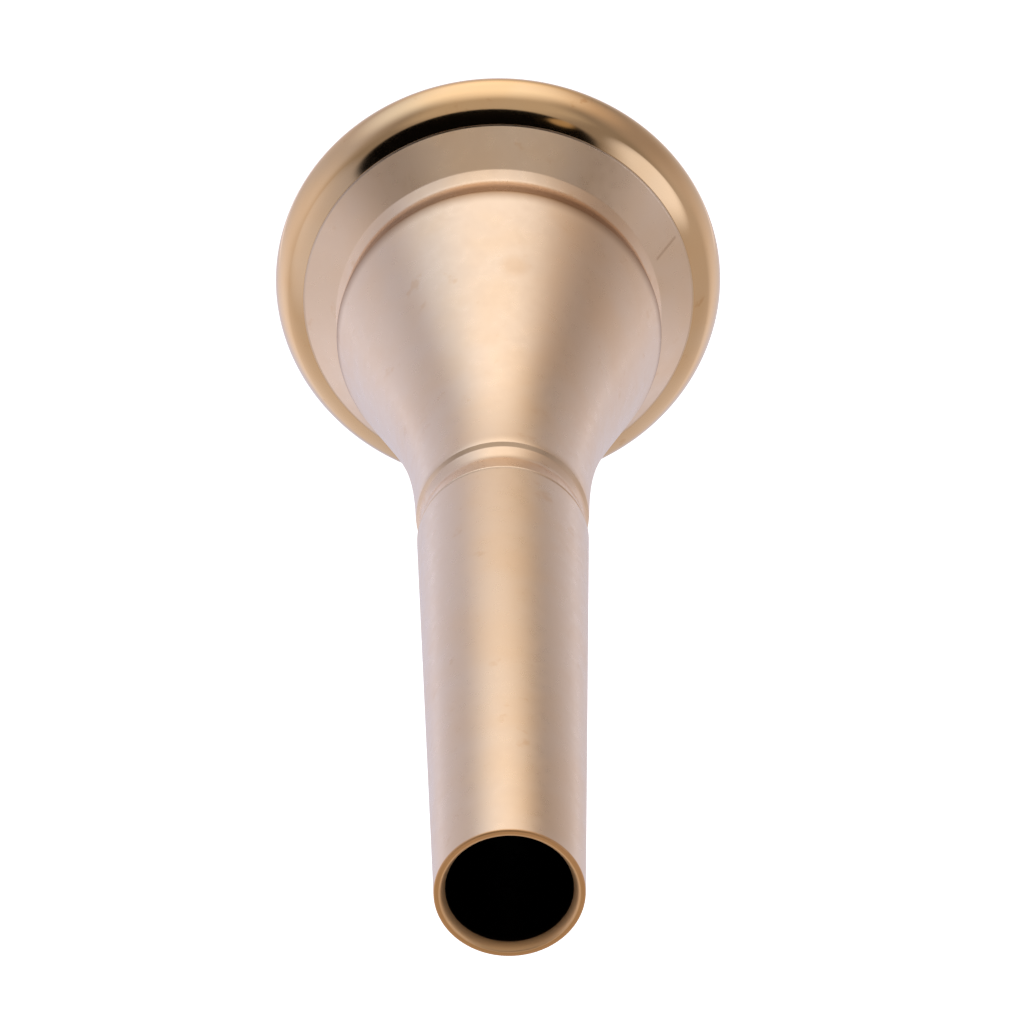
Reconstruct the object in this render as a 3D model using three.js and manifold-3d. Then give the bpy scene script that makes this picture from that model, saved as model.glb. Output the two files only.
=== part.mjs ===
// A French horn mouthpiece that screws apart: rim, cup, neck ring and tapered shank, with two small seals.
// Millimetres, +Z up. The mouthpiece stands on its rim face at z = 0 and its shank points up.
// Profiles are lists of [radius, height] points that are turned about the Z axis.

import * as THREE from 'three';
import { mergeVertices } from 'three/addons/utils/BufferGeometryUtils.js';
import Module from 'manifold-3d';

const wasm = await Module();
wasm.setup();

// ---- Driving dimensions ----

const TOTAL_LENGTH = 64.0;
const RIM_OUTER_RADIUS = 12.75;
const RIM_WIDEST_HEIGHT = 2.0;
const RIM_LAND_INNER_RADIUS = 10.2; // the small flat that the mouthpiece stands on
const RIM_LAND_OUTER_RADIUS = 10.9;
const BITE_RADIUS = 8.6; // the narrowest place inside the rim
const BITE_HEIGHT = 1.1;
const RIM_SEAM_RADIUS = 11.1; // where the rim meets the flange of the cup
const RIM_SEAM_HEIGHT = 4.35;
const RIM_TURN_RADIUS = 11.95; // the round bead of the rim ends here and its shallow underside begins
const RIM_TURN_HEIGHT = 3.83;
const RIM_FACE_FULLNESS = [0.7, 0.8]; // how far the bead keeps its direction at each end of its curve
const RIM_SIDE_FULLNESS = 0.6;
const RIM_TURN_FULLNESS = [0.35, 0.28];
const RIM_SHOULDER_HEIGHT = 1.5; // the step inside the rim that the spigot of the cup faces

const FLANGE_EDGE_THICKNESS = 0.13;
const COVE_TOP = [9.19, 6.15]; // where the cone under the flange ends
const COVE_FLOOR = [8.80, 7.0];
const FUNNEL_TOP = [9.13, 8.87];
const FUNNEL_TOP_HANDLE = [6.39, 17.21]; // these two handles shape the long sweep of the funnel
const FUNNEL_TAIL_HANDLE = [4.73, 20.64];

const NECK_TOP_HEIGHT = 29.4; // the neck ring fills the space between these two heights
const NECK_BOTTOM_HEIGHT = 31.8;
const NECK_RADIUS = 4.53;
const NECK_LIP_RADIUS = 4.46; // the ring starts a little inside the edge of the cup
const NECK_RING_SHOULDER = [4.35, 29.66];
const NECK_RING_HOLLOW = [4.20, 30.3]; // the narrowest place of the hollow ring
const NECK_RING_END_RADIUS = 4.44;

const SHANK_TOP_RADIUS = 4.436;
const SHANK_END_RADIUS = 3.466;
const SHANK_END_ROUNDING = 0.08;

const CUP_BOTTOM_RADIUS = 2.45; // the air passage where the cup hands over to the shank
const CUP_BOTTOM_HEIGHT = 23.3;
const BOWL_BOTTOM_HANDLE = [3.6, 16.5]; // these two handles shape the deep bowl
const BOWL_MOUTH_HANDLE = [8.2, 7.0];
const BOWL_MOUTH_SETBACK = 0.05;
const THROAT_RADIUS = 2.3;
const THROAT_START_HEIGHT = 25.2;
const THROAT_END_HEIGHT = 28.2;
const BACKBORE_END_RADIUS = 2.93;
const BORE_FLARE_RADIUS = 3.2; // the bore opens out at the very end
const BORE_FLARE_DEPTH = 0.48;
const BORE_FLARE_MIDDLE = [2.99, 0.16]; // radius, and depth below the end face

const SEAT_GAP = 0.3; // between faces that meet when the joints are tight
const SEAL_SECTION_RADIUS = 0.28;
const SEAL_GROOVE_CLEARANCE = 0.06;
const RIM_SEAL_HEIGHT = 2.37;
const SHANK_SEAL_HEIGHT = 24.36;

const RIM_THREAD = {
  majorRadius: 10.0, pitch: 0.5, turns: 2.5, startHeight: 2.98, clearance: 0.06, stepsPerTurn: 36,
};
const SHANK_THREAD = {
  majorRadius: 3.75, pitch: 0.75, turns: 5, startHeight: 25.2, clearance: 0.1, stepsPerTurn: 24,
};
const THREAD_DEPTH_PER_PITCH = 0.55;
const THREAD_CREST_PER_PITCH = 0.09; // half the width of the crest
const THREAD_BASE_PER_PITCH = 0.4; // half the width of the base
const THREAD_ROOT_OVERLAP = 0.1;
const GROOVE_LEAD_IN_TURNS = 1 / 12;

const WIDE_SEGMENTS = 36; // around the rim and the cup
const NARROW_SEGMENTS = 24; // around the neck, the shank and the seals
const BEAD_STEPS = 5; // along each half of the rim's outside
const BITE_STEPS = 4;
const BOWL_STEPS = 7;
const FUNNEL_STEPS = 9;
const SHANK_END_STEPS = 3;
const SEAL_SIDES = 6;
const MERGE_DISTANCE = 1e-3;
const FULL_CIRCLE = 360;
const QUARTER_CIRCLE = 90;
const FULL_TURN = 2 * Math.PI;
const HALF_GAP = SEAT_GAP / 2;

// ---- Materials ----

const polishedPlate = new THREE.MeshStandardMaterial({ color: 0xd2a878, metalness: 1, roughness: 0.12 });
const satinPlate = new THREE.MeshStandardMaterial({ color: 0xd8b898, metalness: 1, roughness: 0.4 });
const sealRubber = new THREE.MeshStandardMaterial({ color: 0x1c1b1a, metalness: 0, roughness: 0.7 });

// ---- Shared shape functions ----

/** Points along an elliptical arc in the radius-height plane. Angles are in degrees from straight outward. */
function arc(centreRadius, centreHeight, radial, axial, fromDegrees, toDegrees, steps) {
  return Array.from({ length: steps + 1 }, (_, i) => {
    const angle = THREE.MathUtils.degToRad(THREE.MathUtils.lerp(fromDegrees, toDegrees, i / steps));
    return [centreRadius + radial * Math.cos(angle), centreHeight + axial * Math.sin(angle)];
  });
}

/** Points along a smooth curve from a start to an end, shaped by one handle at each. */
function curve(start, startHandle, endHandle, end, steps) {
  const points = [start, startHandle, endHandle, end].map(([r, z]) => new THREE.Vector2(r, z));
  return new THREE.CubicBezierCurve(...points).getPoints(steps).map((p) => [p.x, p.y]);
}

/** A closed profile turned about the Z axis. */
function turned(profile, segments) {
  const points = [...profile, profile[0]].map(([radius, height]) => new THREE.Vector2(radius, height));
  return new THREE.LatheGeometry(points, segments).rotateX(Math.PI / 2);
}

function toSolid(geometry) {
  const bare = geometry.clone();
  bare.deleteAttribute('normal');
  bare.deleteAttribute('uv');
  const merged = mergeVertices(bare, MERGE_DISTANCE);
  return new wasm.Manifold(new wasm.Mesh({
    numProp: 3,
    vertProperties: new Float32Array(merged.attributes.position.array),
    triVerts: new Uint32Array(merged.index.array),
  }));
}

function toGeometry(solid) {
  const { vertProperties, triVerts } = solid.getMesh();
  const geometry = new THREE.BufferGeometry();
  geometry.setAttribute('position', new THREE.BufferAttribute(vertProperties, 3));
  geometry.setIndex(new THREE.BufferAttribute(triVerts, 1));
  geometry.computeVertexNormals();
  return geometry;
}

// ---- Threads ----

const coreRadius = (thread) => thread.majorRadius - THREAD_DEPTH_PER_PITCH * thread.pitch;
const boreRadius = (thread) => coreRadius(thread) + thread.clearance;

/** A bar of the given cross-section wound into a right-hand helix about the Z axis. */
function helixBar(section, thread, fromTurn, toTurn) {
  const steps = Math.round((toTurn - fromTurn) * thread.stepsPerTurn);
  const depth = steps / thread.stepsPerTurn;
  const geometry = new THREE.ExtrudeGeometry(section, { depth, steps, bevelEnabled: false });
  const position = geometry.attributes.position;
  for (let i = 0; i < position.count; i += 1) {
    const turn = fromTurn + position.getZ(i);
    const radius = position.getX(i);
    const height = thread.startHeight + thread.pitch * turn - position.getY(i);
    position.setXYZ(i, radius * Math.cos(FULL_TURN * turn), radius * Math.sin(FULL_TURN * turn), height);
  }
  return toSolid(geometry);
}

/** The cross-section of a thread: a trapezium between two radii, widest at the inner one. */
function threadSection(thread, innerRadius, outerRadius, clearance) {
  const crest = THREAD_CREST_PER_PITCH * thread.pitch;
  const slope = (THREAD_BASE_PER_PITCH - THREAD_CREST_PER_PITCH) / THREAD_DEPTH_PER_PITCH;
  const side = clearance * Math.hypot(1, slope);
  const halfWidth = (radius) => crest + slope * (thread.majorRadius - radius) + side;
  const root = innerRadius - THREAD_ROOT_OVERLAP;
  return new THREE.Shape([
    new THREE.Vector2(root, -halfWidth(innerRadius)),
    new THREE.Vector2(innerRadius, -halfWidth(innerRadius)),
    new THREE.Vector2(outerRadius, -halfWidth(outerRadius)),
    new THREE.Vector2(outerRadius, halfWidth(outerRadius)),
    new THREE.Vector2(innerRadius, halfWidth(innerRadius)),
    new THREE.Vector2(root, halfWidth(innerRadius)),
  ]);
}

/** The ridge of an outside thread. */
function threadRidge(thread) {
  const section = threadSection(thread, coreRadius(thread), thread.majorRadius, 0);
  return helixBar(section, thread, 0, thread.turns);
}

/** The groove of an inside thread, cut from its blind end out through its mouth. */
function threadGroove(thread, mouthHeight) {
  const outerRadius = thread.majorRadius + thread.clearance;
  const section = threadSection(thread, boreRadius(thread), outerRadius, thread.clearance);
  const toMouth = (mouthHeight - thread.startHeight) / thread.pitch + 1;
  return helixBar(section, thread, -GROOVE_LEAD_IN_TURNS, toMouth);
}

// ---- The pieces ----

function makeRim() {
  const bottom = RIM_SEAM_HEIGHT - HALF_GAP;
  const bore = boreRadius(RIM_THREAD);
  const crestRadius = RIM_THREAD.majorRadius + RIM_THREAD.clearance;
  const faceEdge = curve(
    [RIM_LAND_OUTER_RADIUS, 0], [RIM_LAND_OUTER_RADIUS + RIM_FACE_FULLNESS[0], 0],
    [RIM_OUTER_RADIUS, RIM_WIDEST_HEIGHT - RIM_FACE_FULLNESS[1]], [RIM_OUTER_RADIUS, RIM_WIDEST_HEIGHT],
    BEAD_STEPS,
  );
  const underside = curve(
    [RIM_OUTER_RADIUS, RIM_WIDEST_HEIGHT], [RIM_OUTER_RADIUS, RIM_WIDEST_HEIGHT + RIM_SIDE_FULLNESS],
    [RIM_TURN_RADIUS + RIM_TURN_FULLNESS[0], RIM_TURN_HEIGHT - RIM_TURN_FULLNESS[1]],
    [RIM_TURN_RADIUS, RIM_TURN_HEIGHT], BEAD_STEPS,
  );
  const bite = arc(
    RIM_LAND_INNER_RADIUS, BITE_HEIGHT, RIM_LAND_INNER_RADIUS - BITE_RADIUS, BITE_HEIGHT,
    2 * QUARTER_CIRCLE, 3 * QUARTER_CIRCLE, BITE_STEPS,
  );
  const profile = [
    ...faceEdge,
    ...underside.slice(1),
    [RIM_SEAM_RADIUS, bottom],
    [crestRadius, bottom],
    [bore, bottom - (crestRadius - bore)],
    [bore, RIM_SHOULDER_HEIGHT],
    [BITE_RADIUS, RIM_SHOULDER_HEIGHT],
    ...bite,
  ];
  const body = toSolid(turned(profile, WIDE_SEGMENTS));
  return toGeometry(body.subtract(threadGroove(RIM_THREAD, bottom)));
}

const sealCentreRadius = (thread) => boreRadius(thread) - SEAL_GROOVE_CLEARANCE - SEAL_SECTION_RADIUS;

/** An O-ring of round section. */
function makeSeal(thread, centreHeight) {
  const lastAngle = FULL_CIRCLE * (1 - 1 / SEAL_SIDES);
  const section = arc(
    sealCentreRadius(thread), centreHeight, SEAL_SECTION_RADIUS, SEAL_SECTION_RADIUS,
    0, lastAngle, SEAL_SIDES - 1,
  );
  return turned(section, NARROW_SEGMENTS);
}

/** The groove that holds a seal on a spigot, as profile points with rising height. */
function sealGroove(thread, centreHeight) {
  const half = SEAL_SECTION_RADIUS + SEAL_GROOVE_CLEARANCE;
  const floor = sealCentreRadius(thread) - half;
  return [
    [coreRadius(thread), centreHeight - half],
    [floor, centreHeight - half],
    [floor, centreHeight + half],
    [coreRadius(thread), centreHeight + half],
  ];
}

function makeCup() {
  const flangeFace = RIM_SEAM_HEIGHT + HALF_GAP;
  const tip = RIM_SHOULDER_HEIGHT + SEAT_GAP;
  const tail = NECK_TOP_HEIGHT - HALF_GAP;
  const tailBore = boreRadius(SHANK_THREAD);
  const tailCrest = SHANK_THREAD.majorRadius + SHANK_THREAD.clearance;
  const bowl = curve(
    [CUP_BOTTOM_RADIUS, CUP_BOTTOM_HEIGHT], BOWL_BOTTOM_HANDLE,
    BOWL_MOUTH_HANDLE, [BITE_RADIUS - BOWL_MOUTH_SETBACK, tip], BOWL_STEPS,
  );
  const funnel = curve(FUNNEL_TOP, FUNNEL_TOP_HANDLE, FUNNEL_TAIL_HANDLE, [NECK_RADIUS, tail], FUNNEL_STEPS);
  const profile = [
    ...bowl,
    [coreRadius(RIM_THREAD), tip],
    ...sealGroove(RIM_THREAD, RIM_SEAL_HEIGHT),
    [coreRadius(RIM_THREAD), flangeFace],
    [RIM_SEAM_RADIUS, flangeFace],
    [RIM_SEAM_RADIUS, flangeFace + FLANGE_EDGE_THICKNESS],
    COVE_TOP,
    COVE_FLOOR,
    ...funnel,
    [tailCrest, tail],
    [tailBore, tail - (tailCrest - tailBore)],
    [tailBore, CUP_BOTTOM_HEIGHT],
  ];
  const body = toSolid(turned(profile, WIDE_SEGMENTS));
  const threaded = body.add(threadRidge(RIM_THREAD)).subtract(threadGroove(SHANK_THREAD, tail));
  return toGeometry(threaded);
}

function makeNeckRing() {
  const low = NECK_TOP_HEIGHT + HALF_GAP;
  const high = NECK_BOTTOM_HEIGHT - HALF_GAP;
  const bore = SHANK_THREAD.majorRadius + SHANK_THREAD.clearance;
  return turned([
    [bore, low],
    [NECK_LIP_RADIUS, low],
    NECK_RING_SHOULDER,
    NECK_RING_HOLLOW,
    [NECK_RING_END_RADIUS, high],
    [bore, high],
  ], NARROW_SEGMENTS);
}

function makeShank() {
  const tip = CUP_BOTTOM_HEIGHT + SEAT_GAP;
  const shoulder = NECK_BOTTOM_HEIGHT + HALF_GAP;
  const collarStart = NECK_TOP_HEIGHT + HALF_GAP;
  const end = arc(
    SHANK_END_RADIUS - SHANK_END_ROUNDING, TOTAL_LENGTH - SHANK_END_ROUNDING,
    SHANK_END_ROUNDING, SHANK_END_ROUNDING, 0, QUARTER_CIRCLE, SHANK_END_STEPS,
  );
  const profile = [
    [CUP_BOTTOM_RADIUS, tip],
    [coreRadius(SHANK_THREAD), tip],
    ...sealGroove(SHANK_THREAD, SHANK_SEAL_HEIGHT),
    [coreRadius(SHANK_THREAD), collarStart],
    [SHANK_THREAD.majorRadius, collarStart],
    [SHANK_THREAD.majorRadius, shoulder],
    [SHANK_TOP_RADIUS, shoulder],
    ...end,
    [BORE_FLARE_RADIUS, TOTAL_LENGTH],
    [BORE_FLARE_MIDDLE[0], TOTAL_LENGTH - BORE_FLARE_MIDDLE[1]],
    [BACKBORE_END_RADIUS, TOTAL_LENGTH - BORE_FLARE_DEPTH],
    [THROAT_RADIUS, THROAT_END_HEIGHT],
    [THROAT_RADIUS, THROAT_START_HEIGHT],
  ];
  const body = toSolid(turned(profile, NARROW_SEGMENTS));
  return toGeometry(body.add(threadRidge(SHANK_THREAD)));
}

// ---- Assembly ----

function addPiece(group, name, geometry, material) {
  const mesh = new THREE.Mesh(geometry, material);
  mesh.name = name;
  group.add(mesh);
}

const mouthpiece = new THREE.Group();
addPiece(mouthpiece, 'rim', makeRim(), polishedPlate);
addPiece(mouthpiece, 'rim_seal', makeSeal(RIM_THREAD, RIM_SEAL_HEIGHT), sealRubber);
addPiece(mouthpiece, 'cup', makeCup(), satinPlate);
addPiece(mouthpiece, 'neck_ring', makeNeckRing(), satinPlate);
addPiece(mouthpiece, 'shank_seal', makeSeal(SHANK_THREAD, SHANK_SEAL_HEIGHT), sealRubber);
addPiece(mouthpiece, 'shank', makeShank(), satinPlate);

export default mouthpiece;
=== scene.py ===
"""Looks for a French horn mouthpiece that unscrews: fine turned metal pieces built around the CAD frame.

Profiles are lists of (radius, height) points in millimetres, turned about the Z axis. The mouthpiece
stands on its rim face at z = 0 and its shank points up.
"""
import math

import bpy
from mathutils import Matrix, Vector


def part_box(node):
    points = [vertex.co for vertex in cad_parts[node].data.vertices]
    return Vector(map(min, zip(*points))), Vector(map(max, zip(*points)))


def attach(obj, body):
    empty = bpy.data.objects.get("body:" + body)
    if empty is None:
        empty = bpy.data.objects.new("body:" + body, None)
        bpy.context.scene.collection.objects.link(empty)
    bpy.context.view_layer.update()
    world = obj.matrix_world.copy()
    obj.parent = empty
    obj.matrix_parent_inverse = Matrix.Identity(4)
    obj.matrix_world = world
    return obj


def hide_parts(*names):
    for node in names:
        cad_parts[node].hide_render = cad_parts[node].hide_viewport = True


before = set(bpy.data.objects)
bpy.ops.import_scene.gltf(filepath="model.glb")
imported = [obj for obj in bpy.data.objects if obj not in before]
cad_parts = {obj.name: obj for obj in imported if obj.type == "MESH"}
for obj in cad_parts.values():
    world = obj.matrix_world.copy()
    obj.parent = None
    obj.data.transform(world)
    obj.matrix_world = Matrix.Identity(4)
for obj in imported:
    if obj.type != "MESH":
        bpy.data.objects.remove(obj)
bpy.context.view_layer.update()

MM = 0.001

# ---- Sizes in millimetres, from the frame where it gives them ----


def corner(node, low_or_high):
    return Vector(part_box(node)[low_or_high]) / MM


RIM_RADIUS = corner("rim", 1).x
FLANGE_RADIUS = corner("cup", 1).x
SHANK_TOP_RADIUS = corner("shank", 1).x
LENGTH = corner("shank", 1).z
CUP_TIP = corner("cup", 0).z
SHANK_TIP = corner("shank", 0).z
SHANK_COLLAR = corner("neck_ring", 0).z  # the step on the shank that pushes against the neck ring

RIM_SEAM = 4.35  # heights where the pieces meet
NECK_TOP = 29.25
NECK_BOTTOM = 31.93
SEAM = 0.003  # half the width of the hairline between two pieces
SHANK_SEAM = 0.035

RIM_WIDEST = 2.0
RIM_LAND = (10.2, 10.9)  # inner and outer radius of the flat that the mouthpiece stands on
RIM_FACE_FULLNESS = (0.7, 0.8)  # how far the bead keeps its direction at each end of its curve
RIM_SIDE_FULLNESS = 0.6
RIM_TURN = (11.95, 3.83)  # where the round bead ends and its shallow underside begins
RIM_TURN_FULLNESS = (0.35, 0.28)
RIM_SLOPE_START = (0.25, 0.2)
RIM_SLOPE_END = (0.3, 0.155)
BITE_RADIUS = 8.6
BITE_HEIGHT = 1.1
RIM_SHOULDER = 1.5
RIM_MOUTH_EXTRA = 0.12

FLANGE_EDGE = 0.01
FLANGE_CHAMFER = (0.09, 0.035)
COVE_TOP = (9.19, 6.15)
COVE_FLOOR = (8.80, 7.0)
FUNNEL_TOP = (9.13, 8.87)
FUNNEL_HANDLES = ((6.39, 17.21), (4.73, 20.64))
FUNNEL_STEPS = 64
LIP_STEPS = 3  # the last steps of the funnel are replaced by the rounded lip at the neck
LIP_START_HANDLE = (-0.01, 0.4)
LIP_END_RISE = 0.18
BOWL_HANDLES = ((3.6, 16.5), (8.2, 7.0))
BOWL_MOUTH_SETBACK = 0.05
BOWL_FLOOR_DEPTH = 0.3  # how far below the tip of the shank the threaded hole ends

NECK_RADIUS = 4.53
NECK_CREASE = 4.49
NECK_SHOULDER = (4.32, 29.46)
NECK_HOLLOW = (4.18, 30.3)
NECK_RING_LIP = (4.445, 31.78)
NECK_RING_END = 4.38

SHANK_END_RADIUS = 3.466
SHANK_END_ROUNDING = 0.09
CUP_BOTTOM_RADIUS = 2.45
THROAT = (2.3, 25.2, 28.2)  # radius, and the heights between which it is straight
BACKBORE_END_RADIUS = 2.93
BACKBORE_HANDLES = ((-0.1, -12), (0, 10))
BORE_FLARE = (3.2, 0.48)  # radius at the end face, and depth
FLARE_START_HANDLE = (-0.08, -0.02)
FLARE_END_HANDLE = (0.05, 0.18)

RIM_THREAD = {"major": 10.0, "pitch": 0.5, "turns": 2.5, "start": 2.98, "clearance": 0.06, "run_in": 0.4}
SHANK_THREAD = {"major": 3.75, "pitch": 0.75, "turns": 5.0, "start": 25.2, "clearance": 0.1, "run_in": 0.6}
THREAD_DEPTH = 0.55  # these three are parts of a pitch
THREAD_CREST = 0.09
THREAD_BASE = 0.4
FLANK_CLEARANCE = 1.2
THREAD_RUNOUT_TURNS = 0.3
ROWS_PER_PITCH = 16
MOUTH_ROWS = 10
ROW_MARGIN = 0.01  # rows of points stop this far short of the corners next to them
WALL_MARGIN = 0.1
RIM_SPIGOT_END = 0.06
SHANK_SPIGOT_END = 0.05
SOCKET_START = 0.5
RIDGE_START = 0.05  # a ridge is kept this far from the corners at its two ends
RIDGE_END = 0.03
WALL_TOLERANCE = 1e-4

SEAL_SECTION_RADIUS = 0.28
SEAL_CLEARANCE = 0.06
SEAL_SIDES = 24
RIM_SEAL_HEIGHT = 2.37
SHANK_SEAL_HEIGHT = 24.36

FINE_EDGE = 0.05
SIDES = 256
SHARP_ANGLE = math.radians(35)


# ---- Turned shapes ----


def arc(centre, radial, axial, start, end, steps=12):
    """Points on an elliptical arc. Angles are in degrees from straight outward."""
    angles = [math.radians(start + (end - start) * i / steps) for i in range(steps + 1)]
    return [(centre[0] + radial * math.cos(a), centre[1] + axial * math.sin(a)) for a in angles]


def curve(start, start_handle, end_handle, end, steps=32):
    """Points on a smooth curve shaped by a handle at each end."""
    points = []
    for i in range(steps + 1):
        t = i / steps
        weights = ((1 - t) ** 3, 3 * t * (1 - t) ** 2, 3 * t * t * (1 - t), t ** 3)
        corners = (start, start_handle, end_handle, end)
        points.append(tuple(sum(w * c[k] for w, c in zip(weights, corners)) for k in (0, 1)))
    return points


def rounded(before, corner_point, after, radius, steps=5):
    """A fillet at a corner, as points on the curve that cuts it off."""
    corner_vec = Vector(corner_point)
    to_before = (Vector(before) - corner_vec).normalized()
    to_after = (Vector(after) - corner_vec).normalized()
    first = corner_vec + to_before * radius
    last = corner_vec + to_after * radius
    points = []
    for i in range(steps + 1):
        t = i / steps
        points.append(tuple((1 - t) ** 2 * first + 2 * t * (1 - t) * corner_vec + t * t * last))
    return points


def outline(corners):
    """A closed profile. A corner is (radius, height) or (radius, height, rounding)."""
    points = []
    for i, here in enumerate(corners):
        if len(here) == 2:
            points.append(tuple(here))
            continue
        before = corners[i - 1][:2]
        after = corners[(i + 1) % len(corners)][:2]
        points.extend(rounded(before, here[:2], after, here[2]))
    return points


def rows(radius, low, high, pitch):
    """Points up a straight wall, close enough together to carry a thread."""
    count = math.ceil((high - low) / pitch * ROWS_PER_PITCH)
    return [(radius, low + (high - low) * i / count) for i in range(count + 1)]


def mouth_rows(bore, mouth, start, end):
    """Points along the chamfer at the mouth of a threaded hole, from its outer edge inwards."""
    steps = [i / MOUTH_ROWS for i in range(MOUTH_ROWS, -1, -1)]
    return [(bore + (mouth - bore) * t, start + (end - start) * t) for t in steps]


def smooth_step(value):
    t = min(max(value, 0.0), 1.0)
    return t * t * (3 - 2 * t)


def core_radius(thread):
    return thread["major"] - THREAD_DEPTH * thread["pitch"]


def bore_radius(thread):
    return core_radius(thread) + thread["clearance"]


def thread_height(thread, angle, height, clearance=0.0):
    """How far a thread stands out of its core, or is cut into its bore, at one place."""
    pitch = thread["pitch"]
    turn = angle / math.tau
    phase = (height - thread["start"]) / pitch - turn
    nearest = round(phase)
    off_centre = abs(phase - nearest) - FLANK_CLEARANCE * clearance / pitch
    shape = min(max((THREAD_BASE - off_centre) / (THREAD_BASE - THREAD_CREST), 0.0), 1.0)
    position = turn + nearest
    fade = smooth_step(position / THREAD_RUNOUT_TURNS)
    if not clearance:
        fade *= smooth_step((thread["turns"] - position) / THREAD_RUNOUT_TURNS)
    return THREAD_DEPTH * pitch * shape * fade


def turned(name, profile, threads=()):
    """A closed mesh turned about the Z axis. Each thread is (thread, wall radius, low, high, clearance)."""
    vertices = []
    for radius, height in profile:
        near = [t for t in threads if radius > t[1] - WALL_TOLERANCE and t[2] < height < t[3]]
        for side in range(SIDES):
            angle = math.tau * side / SIDES
            reach = [t[1] + thread_height(t[0], angle, height, t[4]) for t in near]
            out = max(radius, *reach, 0.0) * MM
            vertices.append((out * math.cos(angle), out * math.sin(angle), height * MM))
    faces = []
    count = len(profile)
    for row in range(count):
        here = row * SIDES
        above = (row + 1) % count * SIDES
        for side in range(SIDES):
            beside = (side + 1) % SIDES
            faces.append((here + side, here + beside, above + beside, above + side))
    mesh = bpy.data.meshes.new(name)
    mesh.from_pydata(vertices, [], faces)
    mesh.polygons.foreach_set("use_smooth", [True] * len(faces))
    mesh.set_sharp_from_angle(angle=SHARP_ANGLE)
    mesh.update()
    piece = bpy.data.objects.new(name, mesh)
    bpy.context.collection.objects.link(piece)
    return piece


# ---- The pieces ----


def seal_centre(thread):
    return bore_radius(thread) - SEAL_CLEARANCE - SEAL_SECTION_RADIUS


def seal_groove(thread, height):
    """The groove round a spigot for its seal, with rising height."""
    floor = seal_centre(thread) - SEAL_SECTION_RADIUS - SEAL_CLEARANCE
    half = SEAL_SECTION_RADIUS + SEAL_CLEARANCE
    edge = core_radius(thread)
    return [
        (edge, height - half, FINE_EDGE), (floor, height - half, FINE_EDGE),
        (floor, height + half, FINE_EDGE), (edge, height + half, FINE_EDGE),
    ]


def offset(point, move):
    """A point moved by a step, used for the handles of curves."""
    return (point[0] + move[0], point[1] + move[1])


def make_rim():
    bottom = RIM_SEAM - SEAM
    bore = bore_radius(RIM_THREAD)
    mouth = RIM_THREAD["major"] + RIM_THREAD["clearance"] + RIM_MOUTH_EXTRA
    wall_top = bottom - (mouth - bore)
    widest = (RIM_RADIUS, RIM_WIDEST)
    seam_edge = (FLANGE_RADIUS, bottom)
    face = curve(
        (RIM_LAND[1], 0), (RIM_LAND[1] + RIM_FACE_FULLNESS[0], 0),
        offset(widest, (0, -RIM_FACE_FULLNESS[1])), widest,
    )
    underside = curve(
        widest, offset(widest, (0, RIM_SIDE_FULLNESS)),
        offset(RIM_TURN, (RIM_TURN_FULLNESS[0], -RIM_TURN_FULLNESS[1])), RIM_TURN,
    )
    slope = curve(
        RIM_TURN, offset(RIM_TURN, (-RIM_SLOPE_START[0], RIM_SLOPE_START[1])),
        offset(seam_edge, (RIM_SLOPE_END[0], -RIM_SLOPE_END[1])), seam_edge, 24,
    )
    bite = arc((RIM_LAND[0], BITE_HEIGHT), RIM_LAND[0] - BITE_RADIUS, BITE_HEIGHT, 180, 270, 24)
    wall = rows(bore, RIM_SHOULDER + WALL_MARGIN, wall_top - ROW_MARGIN, RIM_THREAD["pitch"])
    profile = outline([
        *face,
        *underside[1:],
        *slope[1:],
        *mouth_rows(bore, mouth, wall_top, bottom),
        *reversed(wall),
        (bore, RIM_SHOULDER),
        (BITE_RADIUS, RIM_SHOULDER, FINE_EDGE),
        *bite,
    ])
    groove = (RIM_THREAD, bore, RIM_THREAD["start"] - RIM_THREAD["run_in"], bottom, RIM_THREAD["clearance"])
    return turned("rim_polished", profile, [groove])


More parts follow.
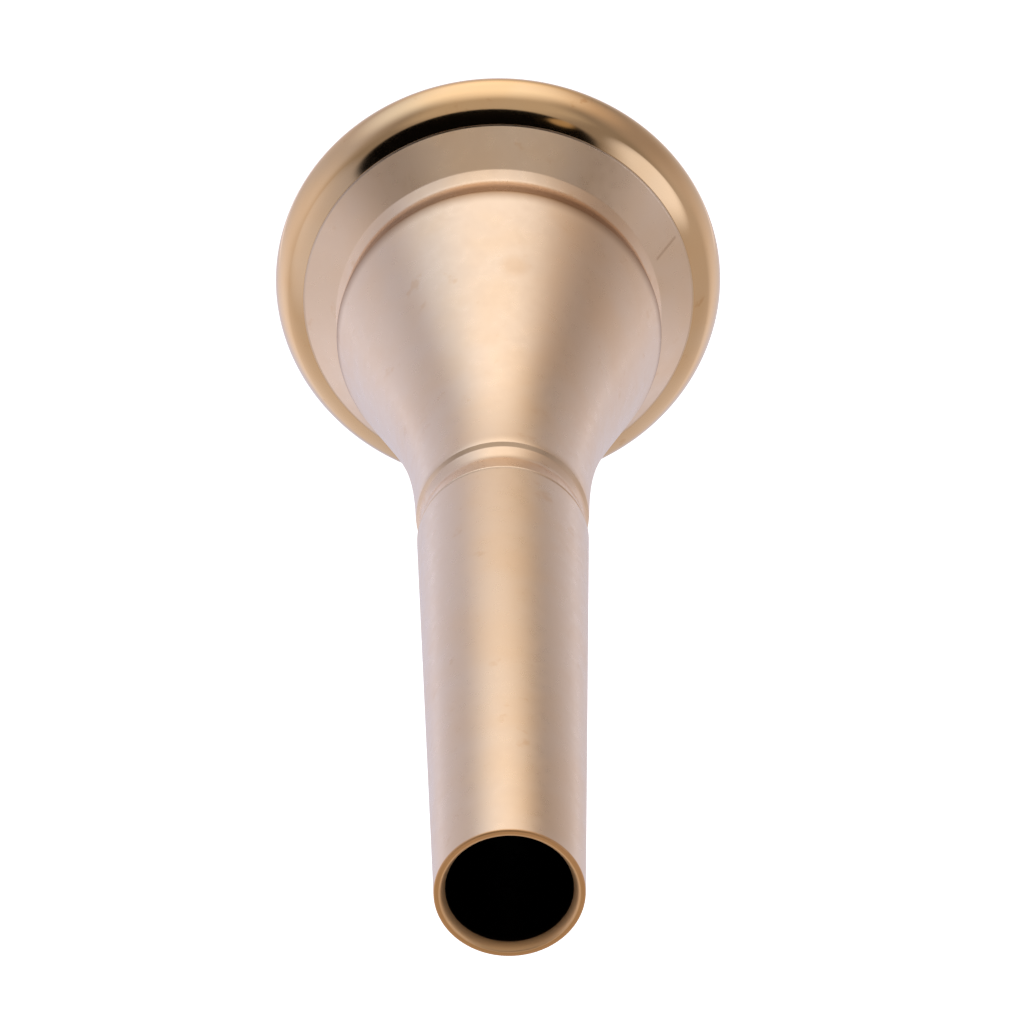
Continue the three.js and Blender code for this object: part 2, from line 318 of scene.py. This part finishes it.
def make_cup():
    face = RIM_SEAM + SEAM
    tail = NECK_TOP - SEAM
    floor = SHANK_TIP - BOWL_FLOOR_DEPTH
    core = core_radius(RIM_THREAD)
    bore = bore_radius(SHANK_THREAD)
    mouth = SHANK_THREAD["major"] + SHANK_THREAD["clearance"]
    wall_top = tail - (mouth - bore)
    groove_top = RIM_SEAL_HEIGHT + SEAL_SECTION_RADIUS + SEAL_CLEARANCE
    bowl = curve((CUP_BOTTOM_RADIUS, floor), *BOWL_HANDLES, (BITE_RADIUS - BOWL_MOUTH_SETBACK, CUP_TIP))
    funnel = curve(FUNNEL_TOP, *FUNNEL_HANDLES, (NECK_RADIUS, tail), FUNNEL_STEPS)
    lip_start = funnel[-LIP_STEPS]
    lip = curve(
        lip_start, offset(lip_start, LIP_START_HANDLE),
        (NECK_RADIUS, tail - LIP_END_RISE), (NECK_CREASE, tail), 16,
    )
    chamfer = (FLANGE_RADIUS - FLANGE_CHAMFER[0], face + FLANGE_EDGE + FLANGE_CHAMFER[1])
    spigot = rows(core, groove_top + WALL_MARGIN, face - RIM_SPIGOT_END, RIM_THREAD["pitch"])
    socket = rows(bore, SHANK_TIP + SOCKET_START, wall_top - ROW_MARGIN, SHANK_THREAD["pitch"])
    profile = outline([
        *bowl,
        (core, CUP_TIP, 0.15),
        *seal_groove(RIM_THREAD, RIM_SEAL_HEIGHT),
        *spigot,
        (core, face),
        (FLANGE_RADIUS, face),
        (FLANGE_RADIUS, face + FLANGE_EDGE),
        (*chamfer, 0.02),
        (*COVE_TOP, 0.06),
        (*COVE_FLOOR, 0.25),
        (*FUNNEL_TOP, 0.2),
        *funnel[2:-LIP_STEPS],
        *lip,
        *mouth_rows(bore, mouth, wall_top, tail),
        *reversed(socket),
        (bore, floor),
    ])
    ridge = (RIM_THREAD, core, groove_top + RIDGE_START, face - RIDGE_END, 0.0)
    groove_start = SHANK_THREAD["start"] - SHANK_THREAD["run_in"]
    groove = (SHANK_THREAD, bore, groove_start, tail, SHANK_THREAD["clearance"])
    return turned("cup_satin", profile, [ridge, groove])


def make_neck_ring():
    low = NECK_TOP + SEAM
    high = NECK_BOTTOM - SHANK_SEAM
    bore = SHANK_THREAD["major"] + SHANK_THREAD["clearance"]
    profile = outline([
        (bore, low, FINE_EDGE), (NECK_CREASE, low), (*NECK_SHOULDER, FINE_EDGE), (*NECK_HOLLOW, 0.25),
        (*NECK_RING_LIP, FINE_EDGE), (NECK_RING_END, high), (bore, high, FINE_EDGE),
    ])
    return turned("neck_ring_satin", profile)


def make_shank():
    shoulder = NECK_BOTTOM + SHANK_SEAM
    core = core_radius(SHANK_THREAD)
    groove_top = SHANK_SEAL_HEIGHT + SEAL_SECTION_RADIUS + SEAL_CLEARANCE
    end_centre = (SHANK_END_RADIUS - SHANK_END_ROUNDING, LENGTH - SHANK_END_ROUNDING)
    end = arc(end_centre, SHANK_END_ROUNDING, SHANK_END_ROUNDING, 0, 90, 10)
    mouth = (BORE_FLARE[0], LENGTH)
    flare = (BACKBORE_END_RADIUS, LENGTH - BORE_FLARE[1])
    throat = (THROAT[0], THROAT[2])
    bell = curve(mouth, offset(mouth, FLARE_START_HANDLE), offset(flare, FLARE_END_HANDLE), flare, 10)
    backbore = curve(
        flare, offset(flare, BACKBORE_HANDLES[0]), offset(throat, BACKBORE_HANDLES[1]), throat, 48,
    )
    spigot = rows(core, groove_top + WALL_MARGIN, SHANK_COLLAR - SHANK_SPIGOT_END, SHANK_THREAD["pitch"])
    profile = outline([
        (CUP_BOTTOM_RADIUS, SHANK_TIP, FINE_EDGE),
        (core, SHANK_TIP, 0.12),
        *seal_groove(SHANK_THREAD, SHANK_SEAL_HEIGHT),
        *spigot,
        (core, SHANK_COLLAR),
        (SHANK_THREAD["major"], SHANK_COLLAR, FINE_EDGE),
        (SHANK_THREAD["major"], shoulder),
        (SHANK_TOP_RADIUS, shoulder, 0.02),
        *end,
        *bell,
        *backbore[1:],
        (THROAT[0], THROAT[1]),
    ])
    ridge = (SHANK_THREAD, core, groove_top + RIDGE_START, SHANK_COLLAR - RIDGE_END, 0.0)
    return turned("shank_satin", profile, [ridge])


def make_seal(name, node, thread):
    """An O-ring of round section where the frame has it."""
    low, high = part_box(node)
    centre = (seal_centre(thread), (low[2] + high[2]) / 2 / MM)
    last_angle = 360 * (1 - 1 / SEAL_SIDES)
    section = arc(centre, SEAL_SECTION_RADIUS, SEAL_SECTION_RADIUS, 0, last_angle, SEAL_SIDES - 1)
    return turned(name, section)


# ---- Materials ----


class Nodes:
    """A short way to add and join shader nodes."""

    def __init__(self, tree):
        self.tree = tree

    def add(self, kind, **settings):
        node = self.tree.nodes.new(kind)
        for key, value in settings.items():
            setattr(node, key, value)
        return node

    def join(self, source, target):
        self.tree.links.new(source, target)

    def math(self, operation, first, second=None):
        node = self.add("ShaderNodeMath", operation=operation)
        for socket, value in zip(node.inputs, (first, second)):
            if value is None:
                continue
            if isinstance(value, (int, float)):
                socket.default_value = value
            else:
                self.join(value, socket)
        return node.outputs[0]

    def noise(self, vector, scale, detail=3.0, roughness=0.5):
        node = self.add("ShaderNodeTexNoise")
        node.inputs["Scale"].default_value = scale
        node.inputs["Detail"].default_value = detail
        node.inputs["Roughness"].default_value = roughness
        self.join(vector, node.inputs["Vector"])
        return node.outputs["Fac"]

    def ramp(self, value, low, high, low_to=0.0, high_to=1.0):
        node = self.add("ShaderNodeMapRange", interpolation_type="SMOOTHSTEP")
        self.join(value, node.inputs["Value"])
        for key, number in (("From Min", low), ("From Max", high), ("To Min", low_to), ("To Max", high_to)):
            node.inputs[key].default_value = number
        return node.outputs["Result"]

    def mix(self, factor, first, second):
        node = self.add("ShaderNodeMix", data_type="RGBA")
        self.join(factor, node.inputs[0])
        for socket, value in ((node.inputs[6], first), (node.inputs[7], second)):
            if isinstance(value, tuple):
                socket.default_value = (*value, 1.0)
            else:
                self.join(value, socket)
        return node.outputs[2]

    def dot(self, vector, fixed):
        node = self.add("ShaderNodeVectorMath", operation="DOT_PRODUCT")
        self.join(vector, node.inputs[0])
        node.inputs[1].default_value = fixed
        return node.outputs["Value"]

    def scale(self, vector, factor):
        node = self.add("ShaderNodeVectorMath", operation="SCALE")
        if isinstance(vector, tuple):
            node.inputs[0].default_value = vector
        else:
            self.join(vector, node.inputs[0])
        self.join(factor, node.inputs["Scale"])
        return node.outputs[0]

    def total(self, vectors, base):
        for vector in vectors:
            node = self.add("ShaderNodeVectorMath", operation="ADD")
            self.join(vector, node.inputs[0])
            if isinstance(base, tuple):
                node.inputs[1].default_value = base
            else:
                self.join(base, node.inputs[1])
            base = node.outputs[0]
        return base


def new_material(name):
    material = bpy.data.materials.new(name)
    material.use_nodes = True
    nodes = Nodes(material.node_tree)
    shader = material.node_tree.nodes["Principled BSDF"]
    return material, nodes, shader


# Texture scales are per metre. Places and sizes are in millimetres, but the heights of bumps are in metres.
RING_STRETCH = 0.006
RING_SLANT = -0.8
FINE_RINGS = 5000
COARSE_RINGS = 2200
COARSE_WEIGHT = 1.5
RING_HEIGHT = 0.00002
DRIFT_SCALE = 260
DRIFT_TINT = (1.0, 0.96, 0.9)
SPOT_SCALE = 620
SPOT_STRENGTH = 0.55
GLOSS_SCALE = 1500

BORE_RADII_MM = (2.98, 3.04)  # the painted black shade of the bore fades out between these
BORE_DEPTHS_MM = (0.52, 0.42)
BORE_SHADE_COLOUR = (0.012, 0.006, 0.003)
END_DEPTHS_MM = (0.16, 0.03)
BELL_DEPTHS_MM = (0.8, 0.7)
BELL_EDGE_MM = (0.02, 0.06)
END_COLOUR = (0.70, 0.40, 0.18)
# The bell is painted brighter than the end face: painted light that lifts the shade deep in its flare.
BELL_PAINTED_LIGHT_COLOUR = (0.90, 0.58, 0.30)
END_ROUGHNESS = 0.5

# Painted shade: a dark band in the cove under the flange, where the real cove lies in shade. The same dark
# brown also colours the fine scratch.
COVE_SHADE_HEIGHTS = (6.95, 8.1, 8.6, 9.7)
COVE_SHADE_RADII = (9.3, 9.5)
COVE_SHADE_AND_SCRATCH_COLOUR = (0.33, 0.18, 0.085)
FUNNEL_STAIN = (-0.95, -7.22, 14.36)
FUNNEL_STAIN_RADII = (0.3, 1.1)
FUNNEL_STAIN_STRENGTH = 0.5
TICK_ENDS = ((-10.16, -4.05, 4.52), (-8.91, -3.16, 5.9))
TICK_HALF_WIDTH = (0.02, 0.13)
TICK_STRENGTH = 0.35
TICK_FADE = 0.8


def ring_vector(nodes):
    """The place, the place stretched so that noise makes rings, the height and the radius."""
    place = nodes.add("ShaderNodeTexCoord").outputs["Object"]
    split = nodes.add("ShaderNodeSeparateXYZ")
    nodes.join(place, split.inputs[0])
    across = nodes.add("ShaderNodeCombineXYZ")
    nodes.join(split.outputs[0], across.inputs[0])
    nodes.join(split.outputs[1], across.inputs[1])
    length = nodes.add("ShaderNodeVectorMath", operation="LENGTH")
    nodes.join(across.outputs[0], length.inputs[0])
    radius = length.outputs["Value"]
    height = split.outputs[2]
    rings = nodes.add("ShaderNodeCombineXYZ")
    nodes.join(nodes.math("MULTIPLY", split.outputs[0], RING_STRETCH), rings.inputs[0])
    nodes.join(nodes.math("MULTIPLY", split.outputs[1], RING_STRETCH), rings.inputs[1])
    nodes.join(nodes.math("ADD", height, nodes.math("MULTIPLY", radius, RING_SLANT)), rings.inputs[2])
    return place, rings.outputs[0], height, radius


def distance_mm(nodes, place, point):
    node = nodes.add("ShaderNodeVectorMath", operation="DISTANCE")
    nodes.join(place, node.inputs[0])
    node.inputs[1].default_value = Vector(point) * MM
    return nodes.math("DIVIDE", node.outputs["Value"], MM)


def cove_painted_shade(nodes, height, radius):
    """How much painted shade darkens the cove under the flange."""
    start, full, fading, end = (value * MM for value in COVE_SHADE_HEIGHTS)
    low, high = (value * MM for value in COVE_SHADE_RADII)
    rising = nodes.ramp(height, start, full)
    falling = nodes.ramp(height, fading, end, 1.0, 0.0)
    band = nodes.math("MULTIPLY", rising, falling)
    return nodes.math("MULTIPLY", band, nodes.ramp(radius, low, high, 1.0, 0.0))


def funnel_stain(nodes, place):
    """A faint round orange stain on the funnel."""
    away = distance_mm(nodes, place, FUNNEL_STAIN)
    return nodes.ramp(away, *FUNNEL_STAIN_RADII, FUNNEL_STAIN_STRENGTH, 0.0)


def tick(nodes, place):
    """A fine dark scratch on the cone under the flange."""
    start, end = (Vector(point) for point in TICK_ENDS)
    middle = (start + end) / 2
    half = (end - start).length / 2
    outward = Vector((middle.x, middle.y, middle.xy.length)).normalized()
    across = (end - start).cross(outward).normalized()
    offset_mm = nodes.math("SUBTRACT", nodes.math("DIVIDE", nodes.dot(place, across), MM), middle.dot(across))
    line = nodes.ramp(nodes.math("ABSOLUTE", offset_mm), *TICK_HALF_WIDTH, TICK_STRENGTH, 0.0)
    near = nodes.ramp(distance_mm(nodes, place, middle), half * TICK_FADE, half, 1.0, 0.0)
    return nodes.math("MULTIPLY", line, near)


def shank_end(nodes, height, radius):
    """Where the bare end of the shank is, and where its bell is."""
    face = nodes.ramp(height, (LENGTH - END_DEPTHS_MM[0]) * MM, (LENGTH - END_DEPTHS_MM[1]) * MM)
    edges = [(BORE_FLARE[0] + step) * MM for step in BELL_EDGE_MM]
    bell = nodes.ramp(radius, *edges, 1.0, 0.0)
    near_end = nodes.ramp(height, (LENGTH - BELL_DEPTHS_MM[0]) * MM, (LENGTH - BELL_DEPTHS_MM[1]) * MM)
    return nodes.math("MAXIMUM", face, nodes.math("MULTIPLY", bell, near_end)), bell


def painted_bore_shade(nodes, height, radius):
    """Where the bore is painted black, as painted shade: close to the centre line and below the bell."""
    inside = nodes.ramp(radius, BORE_RADII_MM[0] * MM, BORE_RADII_MM[1] * MM, 1.0, 0.0)
    start, end = [(LENGTH - depth) * MM for depth in BORE_DEPTHS_MM]
    return nodes.math("MULTIPLY", inside, nodes.ramp(height, start, end, 1.0, 0.0))


def turning_marks(nodes, rings, strength):
    """The normal of a surface with fine turned rings."""
    coarse = nodes.math("MULTIPLY", nodes.noise(rings, COARSE_RINGS, 2.0), COARSE_WEIGHT)
    bump = nodes.add("ShaderNodeBump")
    bump.inputs["Strength"].default_value = strength
    bump.inputs["Distance"].default_value = RING_HEIGHT
    nodes.join(nodes.math("ADD", nodes.noise(rings, FINE_RINGS, 1.0), coarse), bump.inputs["Height"])
    return bump.outputs[0]


def plate_material(name, base, stain, roughness, ring_strength):
    """Gold-coloured plate over turned brass: ring marks, soft colour drift and a few tarnish spots, with
    painted shade in the cove and the bore and painted light in the bell.
    """
    material, nodes, shader = new_material(name)
    place, rings, height, radius = ring_vector(nodes)
    drift = nodes.ramp(nodes.noise(place, DRIFT_SCALE, 2.0), 0.35, 0.7)
    spots = nodes.ramp(nodes.noise(place, SPOT_SCALE, 4.0, 0.6), 0.62, 0.74, 0.0, SPOT_STRENGTH)
    bare, bell = shank_end(nodes, height, radius)
    colour = nodes.mix(drift, base, tuple(b * t for b, t in zip(base, DRIFT_TINT)))
    colour = nodes.mix(spots, colour, stain)
    # Painted shade in the cove under the flange.
    colour = nodes.mix(cove_painted_shade(nodes, height, radius), colour, COVE_SHADE_AND_SCRATCH_COLOUR)
    colour = nodes.mix(funnel_stain(nodes, place), colour, stain)
    colour = nodes.mix(tick(nodes, place), colour, COVE_SHADE_AND_SCRATCH_COLOUR)
    # The bare end has its own orange colour, and the bell has a brighter copy of it as painted light.
    colour = nodes.mix(bare, colour, nodes.mix(bell, END_COLOUR, BELL_PAINTED_LIGHT_COLOUR))
    # Painted shade: the deep bore is painted near-black.
    colour = nodes.mix(painted_bore_shade(nodes, height, radius), colour, BORE_SHADE_COLOUR)
    gloss = nodes.noise(place, GLOSS_SCALE, 4.0, 0.6)
    uneven = nodes.ramp(gloss, 0.3, 0.7, roughness * 0.9, roughness * 1.1)
    rough = nodes.math("MAXIMUM", uneven, nodes.math("MULTIPLY", bare, END_ROUGHNESS))
    nodes.join(colour, shader.inputs["Base Color"])
    nodes.join(rough, shader.inputs["Roughness"])
    nodes.join(turning_marks(nodes, rings, ring_strength), shader.inputs["Normal"])
    shader.inputs["Metallic"].default_value = 1.0
    return material


RUBBER_GRAIN = 9000
RUBBER_COLOURS = ((0.012, 0.012, 0.012), (0.035, 0.033, 0.03))
RUBBER_BUMP = (0.3, 0.00001)


def rubber_material():
    material, nodes, shader = new_material("seal_rubber")
    place = nodes.add("ShaderNodeTexCoord").outputs["Object"]
    grain = nodes.noise(place, RUBBER_GRAIN, 4.0)
    nodes.join(nodes.mix(nodes.ramp(grain, 0.35, 0.65), *RUBBER_COLOURS), shader.inputs["Base Color"])
    nodes.join(nodes.ramp(grain, 0.3, 0.7, 0.5, 0.75), shader.inputs["Roughness"])
    bump = nodes.add("ShaderNodeBump")
    bump.inputs["Strength"].default_value = RUBBER_BUMP[0]
    bump.inputs["Distance"].default_value = RUBBER_BUMP[1]
    nodes.join(grain, bump.inputs["Height"])
    nodes.join(bump.outputs[0], shader.inputs["Normal"])
    return material


# ---- Stage: camera, floor and light ----

CAMERA_TILT = math.radians(29.4)
CAMERA_ROLL = math.radians(178.7)
CAMERA_DISTANCE = 0.23494
CAMERA_AIM = Vector((-0.0005, 0.0, 0.0287))
LENS = 158.2
SENSOR = 36.0
FLOOR_HALF_SIZE = 3.0
FLOOR_COLOUR = (0.9, 0.9, 0.9, 1)
FLOOR_GLOW = 0.95


def make_camera():
    """The camera looks down past the small end of the shank, with the rim at the top of its view."""
    data = bpy.data.cameras.new("camera")
    data.lens = LENS
    data.sensor_width = SENSOR
    camera = bpy.data.objects.new("camera", data)
    turn = Matrix.Rotation(CAMERA_TILT, 4, "X") @ Matrix.Rotation(CAMERA_ROLL, 4, "Z")
    forward = Matrix.Rotation(CAMERA_TILT, 3, "X") @ Vector((0, 0, -1))
    camera.matrix_world = Matrix.Translation(CAMERA_AIM - forward * CAMERA_DISTANCE) @ turn
    bpy.context.collection.objects.link(camera)
    bpy.context.scene.camera = camera


def make_floor():
    """A plain white floor. It glows, so shadows hardly show, and it doesn't light the mouthpiece."""
    size = FLOOR_HALF_SIZE
    corners = [(-size, -size, 0), (size, -size, 0), (size, size, 0), (-size, size, 0)]
    mesh = bpy.data.meshes.new("floor")
    mesh.from_pydata(corners, [], [(0, 1, 2, 3)])
    floor = bpy.data.objects.new("floor", mesh)
    bpy.context.collection.objects.link(floor)
    material, _, shader = new_material("pale_floor")
    shader.inputs["Base Color"].default_value = FLOOR_COLOUR
    shader.inputs["Roughness"].default_value = 1.0
    shader.inputs["Emission Color"].default_value = (1, 1, 1, 1)
    shader.inputs["Emission Strength"].default_value = FLOOR_GLOW
    mesh.materials.append(material)
    floor.visible_glossy = False
    floor.visible_diffuse = False
    floor.visible_shadow = False


def direction(azimuth, elevation):
    """A direction in degrees. Azimuth 0 is the camera's side of the mouthpiece, positive to its right."""
    a = math.radians(azimuth)
    e = math.radians(elevation)
    return (-math.sin(a) * math.cos(e), -math.cos(a) * math.cos(e), math.sin(e))


# Soft lights of the tent: azimuth, elevation, inner and outer half-angle, colour.
TENT_BASE = (0.30, 0.27, 0.26)
TENT_KEYS = (
    (-10, -22, 12, 48, (0.60, 0.71, 0.84)),
    (9, -22, 12, 45, (0.40, 0.31, 0.22)),
)
TENT_LIGHTS = (
    (0, -62, 6, 30, (0.21, 0.15, 0.05)),
    (-68, -22, 8, 34, (0.09, 0.12, 0.19)),
    (62, -22, 8, 34, (0.09, 0.07, 0.07)),
    (0, 20, 22, 42, (0.25, 0.24, 0.22)),
    (-90, -35, 20, 75, (0.16, 0.17, 0.23)),
    (125, -45, 10, 50, (0.11, 0.09, 0.07)),
    (76, 38, 8, 21, (0.66, 0.74, 0.96)),
    (-95, 38, 12, 30, (0.15, 0.20, 0.34)),
    (180, 56, 15, 42, (0.28, 0.24, 0.18)),
    (180, -40, 25, 85, (0.27, 0.32, 0.47)),
    (-115, 5, 25, 60, (0.30, 0.29, 0.31)),
    (115, 5, 25, 60, (0.24, 0.23, 0.25)),
    (0, -90, 20, 60, (0.07, 0.07, 0.08)),
)
SEAM_AZIMUTHS = (-116, 116)  # bright lines of sewn edges, running down the tent
SEAM_HALF_WIDTH = (0.015, 0.05)
SEAM_COLOUR = (0.32, 0.32, 0.34)
SEAM_TOP = (-52, -38)
KEY_TOP = (-24, 3)  # the key lights fade out between these elevations
OPENING_ELEVATION = 65.6
OPENING_HALF_SIZE = (0.57, 0.39)
OPENING_OFFSET = 0.09
OPENING_EDGE = (0.85, 1.15)
OPENING_DARKNESS = 0.006
GLINT = (32, 50, 2, 5, (0.45, 0.33, 0.20))


def lobe(nodes, place, light):
    """A round soft light: its colour times how near a direction is to its centre."""
    azimuth, elevation, inner, outer, colour = light
    low, high = math.cos(math.radians(outer)), math.cos(math.radians(inner))
    glow = nodes.ramp(nodes.dot(place, direction(azimuth, elevation)), low, high)
    return nodes.scale(colour, glow)


def fade_above(nodes, place, elevations):
    """One below the first elevation and nothing above the second."""
    below, above = [math.sin(math.radians(angle)) for angle in elevations]
    return nodes.ramp(nodes.dot(place, (0, 0, 1)), below, above, 1.0, 0.0)


def tent_seam(nodes, place, azimuth):
    """The bright line of a sewn edge, running down the tent at one azimuth."""
    aside = nodes.math("ABSOLUTE", nodes.dot(place, direction(azimuth - 90, 0)))
    line = nodes.ramp(aside, *SEAM_HALF_WIDTH, 1.0, 0.0)
    facing = nodes.ramp(nodes.dot(place, direction(azimuth, 0)), 0.2, 0.4)
    below = fade_above(nodes, place, SEAM_TOP)
    return nodes.scale(SEAM_COLOUR, nodes.math("MULTIPLY", line, nodes.math("MULTIPLY", facing, below)))


def dark_opening(nodes, place):
    """Where the oval opening of the tent is, on the camera's side."""
    across = nodes.math("ADD", nodes.dot(place, (-1, 0, 0)), OPENING_OFFSET)
    down = nodes.dot(place, direction(0, OPENING_ELEVATION - 90))
    parts = [nodes.math("POWER", nodes.math("DIVIDE", value, half), 2.0)
             for value, half in zip((across, down), OPENING_HALF_SIZE)]
    inside = nodes.ramp(nodes.math("ADD", *parts), *OPENING_EDGE, 1.0, 0.0)
    front = nodes.ramp(nodes.dot(place, direction(0, OPENING_ELEVATION)), 0.0, 0.1)
    return nodes.math("MULTIPLY", inside, front)


def tent_light(nodes, place):
    """The colour of the tent in each direction."""
    keys = nodes.total([lobe(nodes, place, light) for light in TENT_KEYS], (0, 0, 0))
    keys = nodes.scale(keys, fade_above(nodes, place, KEY_TOP))
    seams = [tent_seam(nodes, place, azimuth) for azimuth in SEAM_AZIMUTHS]
    lights = [lobe(nodes, place, light) for light in TENT_LIGHTS]
    total = nodes.total([keys, *seams, *lights], TENT_BASE)
    total = nodes.scale(total, nodes.ramp(dark_opening(nodes, place), 0.0, 1.0, 1.0, OPENING_DARKNESS))
    return nodes.total([total, lobe(nodes, place, GLINT)], (0, 0, 0))


def make_tent():
    """A white light tent as the world. The camera itself sees plain white."""
    world = bpy.data.worlds.new("tent")
    bpy.context.scene.world = world
    world.use_nodes = True
    nodes = Nodes(world.node_tree)
    background = world.node_tree.nodes["Background"]
    place = nodes.add("ShaderNodeTexCoord").outputs["Generated"]
    path = nodes.add("ShaderNodeLightPath")
    seen = nodes.mix(path.outputs["Is Camera Ray"], tent_light(nodes, place), (1.0, 1.0, 1.0))
    nodes.join(seen, background.inputs["Color"])
    background.inputs["Strength"].default_value = 1.0


# ---- Assembly ----

make_camera()
make_floor()
make_tent()
bpy.context.scene.view_settings.view_transform = "Standard"

POLISHED = plate_material(
    "polished_plate", base=(0.80, 0.55, 0.31), stain=(0.62, 0.34, 0.14), roughness=0.09, ring_strength=0.015,
)
SATIN = plate_material(
    "satin_plate", base=(0.82, 0.63, 0.46), stain=(0.74, 0.50, 0.30), roughness=0.30, ring_strength=0.008,
)
RUBBER = rubber_material()

PIECES = (
    (make_rim(), "rim", "rim", "polished_plate", POLISHED),
    (make_seal("rim_seal_ring", "rim_seal", RIM_THREAD), "rim_seal", "rim_seal", "seal_rubber", RUBBER),
    (make_cup(), "cup", "cup", "satin_plate", SATIN),
    (make_neck_ring(), "neck_ring", "neck_ring", "satin_plate", SATIN),
    (make_seal("shank_seal_ring", "shank_seal", SHANK_THREAD), "shank_seal", "shank", "seal_rubber", RUBBER),
    (make_shank(), "shank", "shank", "satin_plate", SATIN),
)
for piece, node, body, slot, material in PIECES:
    piece.data.materials.append(material)
    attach(piece, body)
    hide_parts(node)
